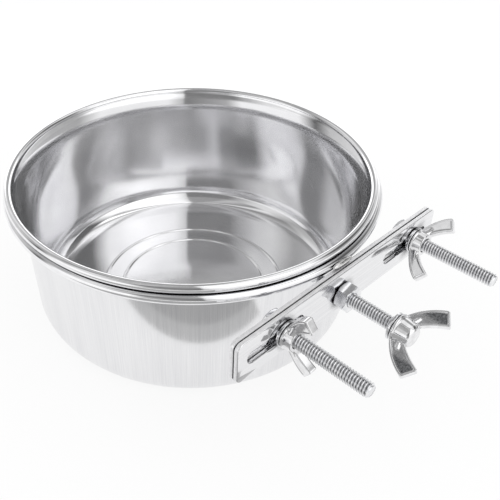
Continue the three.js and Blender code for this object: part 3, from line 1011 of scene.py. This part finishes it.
def grained(mesh, sizes, wing):  # marks the recesses, which the material paints dark as shade, and roughens them
    count = len(mesh.vertices)
    spots, normals = np.zeros(count * 3), np.zeros(count * 3)
    mesh.vertices.foreach_get("co", spots)
    mesh.vertices.foreach_get("normal", normals)
    spots, normals = spots.reshape(-1, 3), normals.reshape(-1, 3)
    bottom = (wing["thickness"] / 2 - wing["recess"] * 0.7) * mm  # just above the recess's floor
    fade = 0.25 * mm
    depth = np.clip((bottom - np.abs(spots[:, 1])) / fade + 0.5, 0, 1)
    reach = np.hypot(spots[:, 0], spots[:, 1]) / mm
    stages = [share * np.clip((reach - start) / over, 0, 1) for start, over, share in sizes["grainStages"]]
    sideways = np.abs(normals[:, 1]) > 0.6
    recess = wing["shadedGrain"] * depth * sum(stages) * sideways
    lift = np.array([noise.noise(Vector(p) * sizes["grainsPerMetre"]) for p in spots]) * sizes["grain"] * mm
    spots = spots + normals * (lift * recess)[:, None]
    mesh.vertices.foreach_set("co", spots.ravel())
    mark = mesh.attributes.new("recess", "FLOAT", "POINT")
    mark.data.foreach_set("value", recess.astype(np.float32))
    mesh.shade_smooth()
    return mesh


def makeWing(name, node, body, wing, turn, screw):  # turned about its own screw
    mesh = wingHead(name, wing, wingSizes)
    mesh.transform(facingOut(screw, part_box(node)[1].y, turn))
    piece(name, mesh, [nickel], body, "cast_metal", node)


makeWing("leftWingNut", "left_wing_nut", "left_wing_nut", nutWing, 96, "left_bolt")
makeWing("rightWingNut", "right_wing_nut", "right_wing_nut", nutWing, 43, "right_bolt")
makeWing("screwHead", "screw_wing", "wing_screw", screwWing, 26, "screw_stud")
print("wing heads made")


# Studio: a white table, soft lamps for its shadow, and the room as the steel mirrors it. Metres.

studio = {
    "floorSize": 6,
    "floorDrop": 0.0002,
    "floorGlow": 0.85,
    "floorShine": 0.72,
    "worldLight": 0.95,
    "lamps": (  # turn from the camera's side, distance, height, size and strength in watts
        (45, 1.0, 0.85, 0.7, 2.2),
        (-70, 1.0, 0.85, 0.45, 1.2),
        (-130, 1.0, 0.8, 0.5, 1.2),
        (125, 1.0, 0.8, 0.5, 1.2),
    ),
    "paintedDarkReflection": {  # strips by nearest and farthest distance and brightness
        "turn": 4,
        "left": 0.25,
        "right": 0.055,
        "strips": ((0.113, 0.125, 0.55), (0.125, 0.45, 0.42)),
    },
}
room = {  # brightness by turn from the camera's side, at three heights
    "low": (
        (-180, 1.5), (-145, 1.8), (-136, 0.8), (-105, 0.6), (-92, 0.1), (-78, 1.1), (-35, 1.15), (-25, 0.48),
        (4.5, 0.18), (5.5, 0.55), (16, 1.05), (65, 1.05), (82, 0.4), (105, 0.5), (138, 0.75), (145, 1.3),
        (180, 1.5),
    ),
    "middle": (
        (-180, 0.4), (-160, 0.55), (-135, 0.9), (-118, 0.55), (-95, 0.4), (-70, 0.85), (-55, 0.8), (-40, 0.5),
        (-31, 0.24), (4.5, 0.22), (5.5, 0.9), (15, 1.35), (45, 1.65), (75, 1.3), (93, 0.1), (116, 0.12),
        (140, 0.3), (150, 0.95), (165, 0.4), (180, 0.4),
    ),
    "high": (
        (-180, 0.35), (-140, 0.5), (-100, 0.25), (-78, 1.0), (-65, 0.3), (-40, 0.65), (-28, 0.36),
        (4.5, 0.38), (5.5, 0.9), (15, 1.25), (65, 1.5), (82, 0.35), (97, 1.9), (112, 0.4), (130, 1.1),
        (160, 1.0), (172, 0.35), (180, 0.35),
    ),
    "heights": (25, 50),  # where one gives way to the next
    "softness": 3,
}
cameraTurn = math.atan2(cameraView["place"][1], cameraView["place"][0])  # where it stands round the object


def roomBand(tree, turned, stops):  # the room's brightness at one height
    ramp = add(tree, "ShaderNodeValToRGB", None, {0: turned})
    elements = ramp.color_ramp.elements
    while len(elements) < len(stops):
        elements.new(0.5)
    for element, (turn, brightness) in zip(elements, stops):
        element.position = (turn + 180) / 360
        element.color = (brightness, brightness, brightness, 1)
    return ramp


def makeWorld(light, walls):  # white to the camera, the room to a mirror and even light to all else
    world = bpy.data.worlds.new("studio")
    scene.world = world
    world.use_nodes = True
    tree = world.node_tree
    tree.nodes.clear()
    rays = add(tree, "ShaderNodeLightPath").outputs
    direction = add(tree, "ShaderNodeTexCoord").outputs["Generated"]
    swing = {"Vector": direction, "Angle": -cameraTurn}
    swung = add(tree, "ShaderNodeVectorRotate", {"rotation_type": "Z_AXIS"}, swing)
    parts = add(tree, "ShaderNodeSeparateXYZ", None, {0: swung}).outputs
    angle = add(tree, "ShaderNodeMath", {"operation": "ARCTAN2"}, {0: parts[1], 1: parts[0]})
    turned = add(tree, "ShaderNodeMath", {"operation": "MULTIPLY_ADD"}, {0: angle, 1: 1 / math.tau, 2: 0.5})
    band = roomBand(tree, turned, walls["low"])
    for height, name in zip(walls["heights"], ("middle", "high")):
        low, high = [math.sin(math.radians(height + side * walls["softness"])) for side in (-1, 1)]
        above = add(tree, "ShaderNodeMapRange", None, {"Value": parts[2], "From Min": low, "From Max": high})
        upper = roomBand(tree, turned, walls[name])
        band = add(tree, "ShaderNodeMix", asColour, {0: above, 6: band, 7: upper})
    even = [light["worldLight"]] * 3 + [1]
    mirrored = add(tree, "ShaderNodeMix", asColour, {0: rays["Is Glossy Ray"], 6: even, 7: band})
    sides = {0: rays["Is Camera Ray"], 6: mirrored, 7: linear("#ffffff")}
    seen = add(tree, "ShaderNodeMix", asColour, sides)
    glow = add(tree, "ShaderNodeBackground", None, {"Color": seen})
    add(tree, "ShaderNodeOutputWorld", None, {"Surface": glow})


def flatPatch(name, corners, material):  # one four-sided face of the studio
    mesh = bpy.data.meshes.new(name)
    mesh.from_pydata(corners, [], [(0, 1, 2, 3)])
    mesh.materials.append(material)
    patch = bpy.data.objects.new(name, mesh)
    scene.collection.objects.link(patch)
    return patch


def makeFloor(light):  # the camera and the steel see it glow, and it keeps the object's shadow
    material, tree = emptyMaterial("matt white table")
    rays = add(tree, "ShaderNodeLightPath").outputs
    matt = add(tree, "ShaderNodeBsdfDiffuse", None, {"Color": linear("#f4f4f4")})
    glow = add(tree, "ShaderNodeEmission", None, {"Color": linear("#ffffff"), "Strength": 1.0})
    watched = {0: rays["Is Camera Ray"], 1: light["floorGlow"]}
    seen = add(tree, "ShaderNodeMath", {"operation": "MULTIPLY"}, watched)
    parts = {0: rays["Is Glossy Ray"], 1: light["floorShine"], 2: seen}
    share = add(tree, "ShaderNodeMath", {"operation": "MULTIPLY_ADD"}, parts)
    mixed = add(tree, "ShaderNodeMixShader", None, {0: share, 1: matt, 2: glow})
    add(tree, "ShaderNodeOutputMaterial", None, {"Surface": mixed})
    half = light["floorSize"] / 2
    corners = ((-half, -half, 0), (half, -half, 0), (half, half, 0), (-half, half, 0))
    floor = flatPatch("floor", corners, material)
    floor.location.z = -light["floorDrop"]


def around(turn, distance):  # a point round the object, turned from the camera's side
    angle = cameraTurn + math.radians(turn)
    return distance * math.cos(angle), distance * math.sin(angle)


def makeLamps(light):  # soft lamps, each aimed at the middle of the table
    for number, (turn, distance, height, size, power) in enumerate(light["lamps"]):
        data = bpy.data.lights.new(f"softbox{number}", "AREA")
        data.size = size
        data.energy = power
        lamp = bpy.data.objects.new(f"softbox{number}", data)
        lamp.visible_glossy = False  # the room's bright walls stand for it in the steel
        place = Vector((*around(turn, distance), height))
        lamp.matrix_world = Matrix.Translation(place) @ (-place).to_track_quat("-Z", "Y").to_matrix().to_4x4()
        scene.collection.objects.link(lamp)


def makePaintedDarkReflection(front):  # painted reflection: dark strips in front of the bowl that only the steel sees, which the outside shows as an arc
    outward = Vector((*around(front["turn"], 1), 0))
    side = Vector((-outward.y, outward.x, 0))
    left, right = -front["left"], front["right"]
    for number, (near, far, brightness) in enumerate(front["strips"]):
        material, tree = emptyMaterial(f"painted dark reflection {number}")
        glow = add(tree, "ShaderNodeEmission", None, {"Color": linear("#ffffff"), "Strength": brightness})
        add(tree, "ShaderNodeOutputMaterial", None, {"Surface": glow})
        ends = ((near, left), (near, right), (far, right), (far, left))
        corners = [outward * out + side * across for out, across in ends]
        obj = flatPatch(f"paintedDarkReflection{number}", corners, material)
        for ray in ("visible_camera", "visible_diffuse", "visible_shadow", "visible_transmission"):
            setattr(obj, ray, False)  # only the steel shows it


makeWorld(studio, room)
makeFloor(studio)
makeLamps(studio)
makePaintedDarkReflection(studio["paintedDarkReflection"])
print("studio made")
